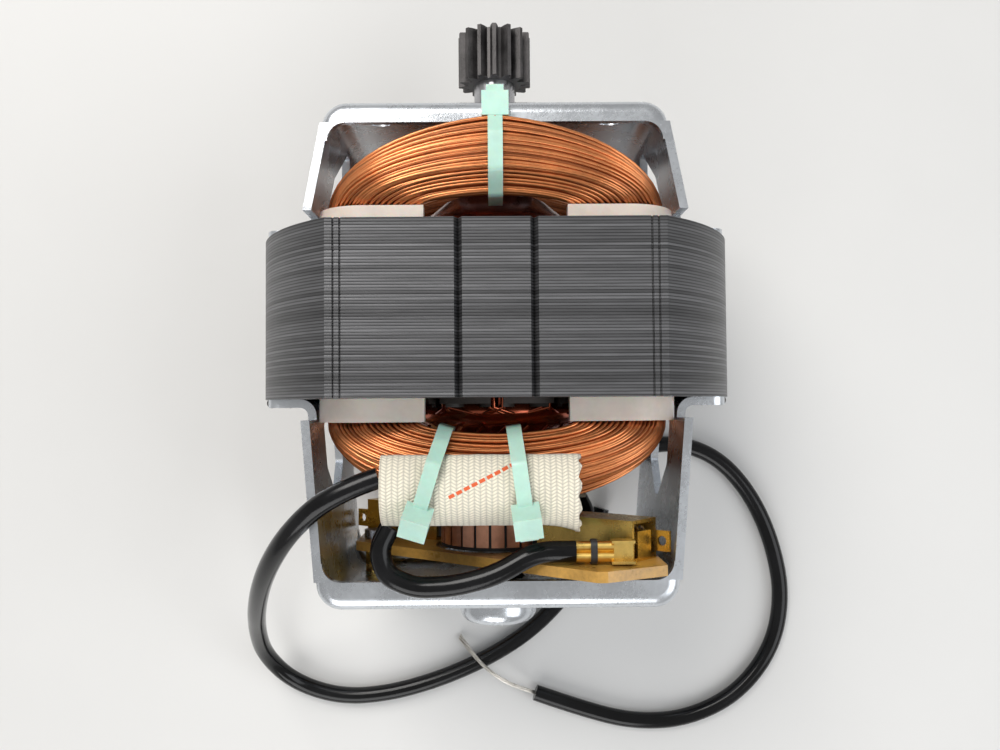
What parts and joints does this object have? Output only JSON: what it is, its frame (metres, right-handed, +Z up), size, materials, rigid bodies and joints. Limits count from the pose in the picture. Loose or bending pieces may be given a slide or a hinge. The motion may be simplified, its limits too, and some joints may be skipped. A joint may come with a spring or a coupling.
{
  "type": "electric motor",
  "caption": "Open-frame commutator motor with wound field coils, zinc-plated brackets, brush gear, a small pinion and two loose black supply leads.",
  "frame": {"origin": "on the floor under the middle of the stator, where the lower flat of the stator core rests", "axes": "+X across the stator, +Y along the shaft towards the pinion, +Z up"},
  "size_m": [0.1199, 0.1472, 0.0694],
  "materials": {
    "lamination": "satin",
    "zinc_sheet": "satin",
    "shaft_steel": "satin",
    "gunmetal": "matt",
    "copper_wire": "satin",
    "commutator_copper": "satin",
    "armature_enamel": "gloss",
    "brass": "satin",
    "phenolic": "gloss",
    "liner_nylon": "satin",
    "tie_nylon": "satin",
    "sleeve_fabric": "matt",
    "lead_pvc": "gloss",
    "carbon": "matt",
    "bush_bronze": "satin",
    "felt": "matt",
    "fibre": "matt",
    "moulding": "satin",
    "tinned_copper": "satin",
    "spring_steel": "satin"
  },
  "bodies": {
    "stator": {"bare_strands": "tinned_copper", "bracket_welds": "gunmetal", "brush_end_bracket": "zinc_sheet", "brush_end_bush": "bush_bronze", "brush_end_felt": "felt", "brush_end_retainer": "spring_steel", "brush_holder_left": "brass", "brush_holder_right": "brass", "brush_pigtail_left": "tinned_copper", "brush_pigtail_right": "tinned_copper", "brush_plate": "phenolic", "brush_spring_left": "spring_steel", "brush_spring_right": "spring_steel", "crimp_bands": "moulding", "drive_end_bracket": "zinc_sheet", "drive_end_bush": "bush_bronze", "drive_end_felt": "felt", "drive_end_retainer": "spring_steel", "drive_tie_bottom": "tie_nylon", "drive_tie_top": "tie_nylon", "field_coil_bottom": "copper_wire", "field_coil_top": "copper_wire", "field_winding_bottom": "copper_wire", "field_winding_top": "copper_wire", "holder_rivets": "brass", "jumper_left": "lead_pvc", "jumper_right": "lead_pvc", "left_tie_bottom": "tie_nylon", "left_tie_top": "tie_nylon", "plate_screws": "shaft_steel", "plate_standoffs": "brass", "receptacle_left": "brass", "receptacle_right": "brass", "right_tie_bottom": "tie_nylon", "right_tie_top": "tie_nylon", "sleeve_bottom": "sleeve_fabric", "sleeve_top": "sleeve_fabric", "slot_insulator_left": "liner_nylon", "slot_insulator_right": "liner_nylon", "stator_core": "lamination", "supply_lead_bottom": "lead_pvc", "supply_lead_top": "lead_pvc"},
    "armature": {"armature_core": "lamination", "armature_winding": "armature_enamel", "commutator_bars": "commutator_copper", "commutator_hub": "moulding", "end_insulators": "fibre", "pinion": "gunmetal", "shaft": "shaft_steel", "slot_papers": "fibre", "thrust_collar": "shaft_steel", "thrust_washers": "fibre"},
    "brush_right_body": {"brush_right": "carbon"},
    "brush_left_body": {"brush_left": "carbon"}
  },
  "joints": [
    {"name": "armature_spin", "type": "hinge", "parent": "stator", "child": "armature", "pos_m": [0, 0, 0.0343], "axis": [0, 1, 0], "continuous": true},
    {"name": "brush_right_slide", "type": "slide", "parent": "stator", "child": "brush_right_body", "axis": [0.766, 0, 0.6428], "range_m": [0, 0.004], "stiffness_N_per_m": 250, "springref_m": -0.002, "deforming": ["brush_spring_right", "brush_pigtail_right"]},
    {"name": "brush_left_slide", "type": "slide", "parent": "stator", "child": "brush_left_body", "axis": [-0.766, 0, -0.6428], "range_m": [0, 0.004], "stiffness_N_per_m": 250, "springref_m": -0.002, "deforming": ["brush_spring_left", "brush_pigtail_left"]}
  ]
}
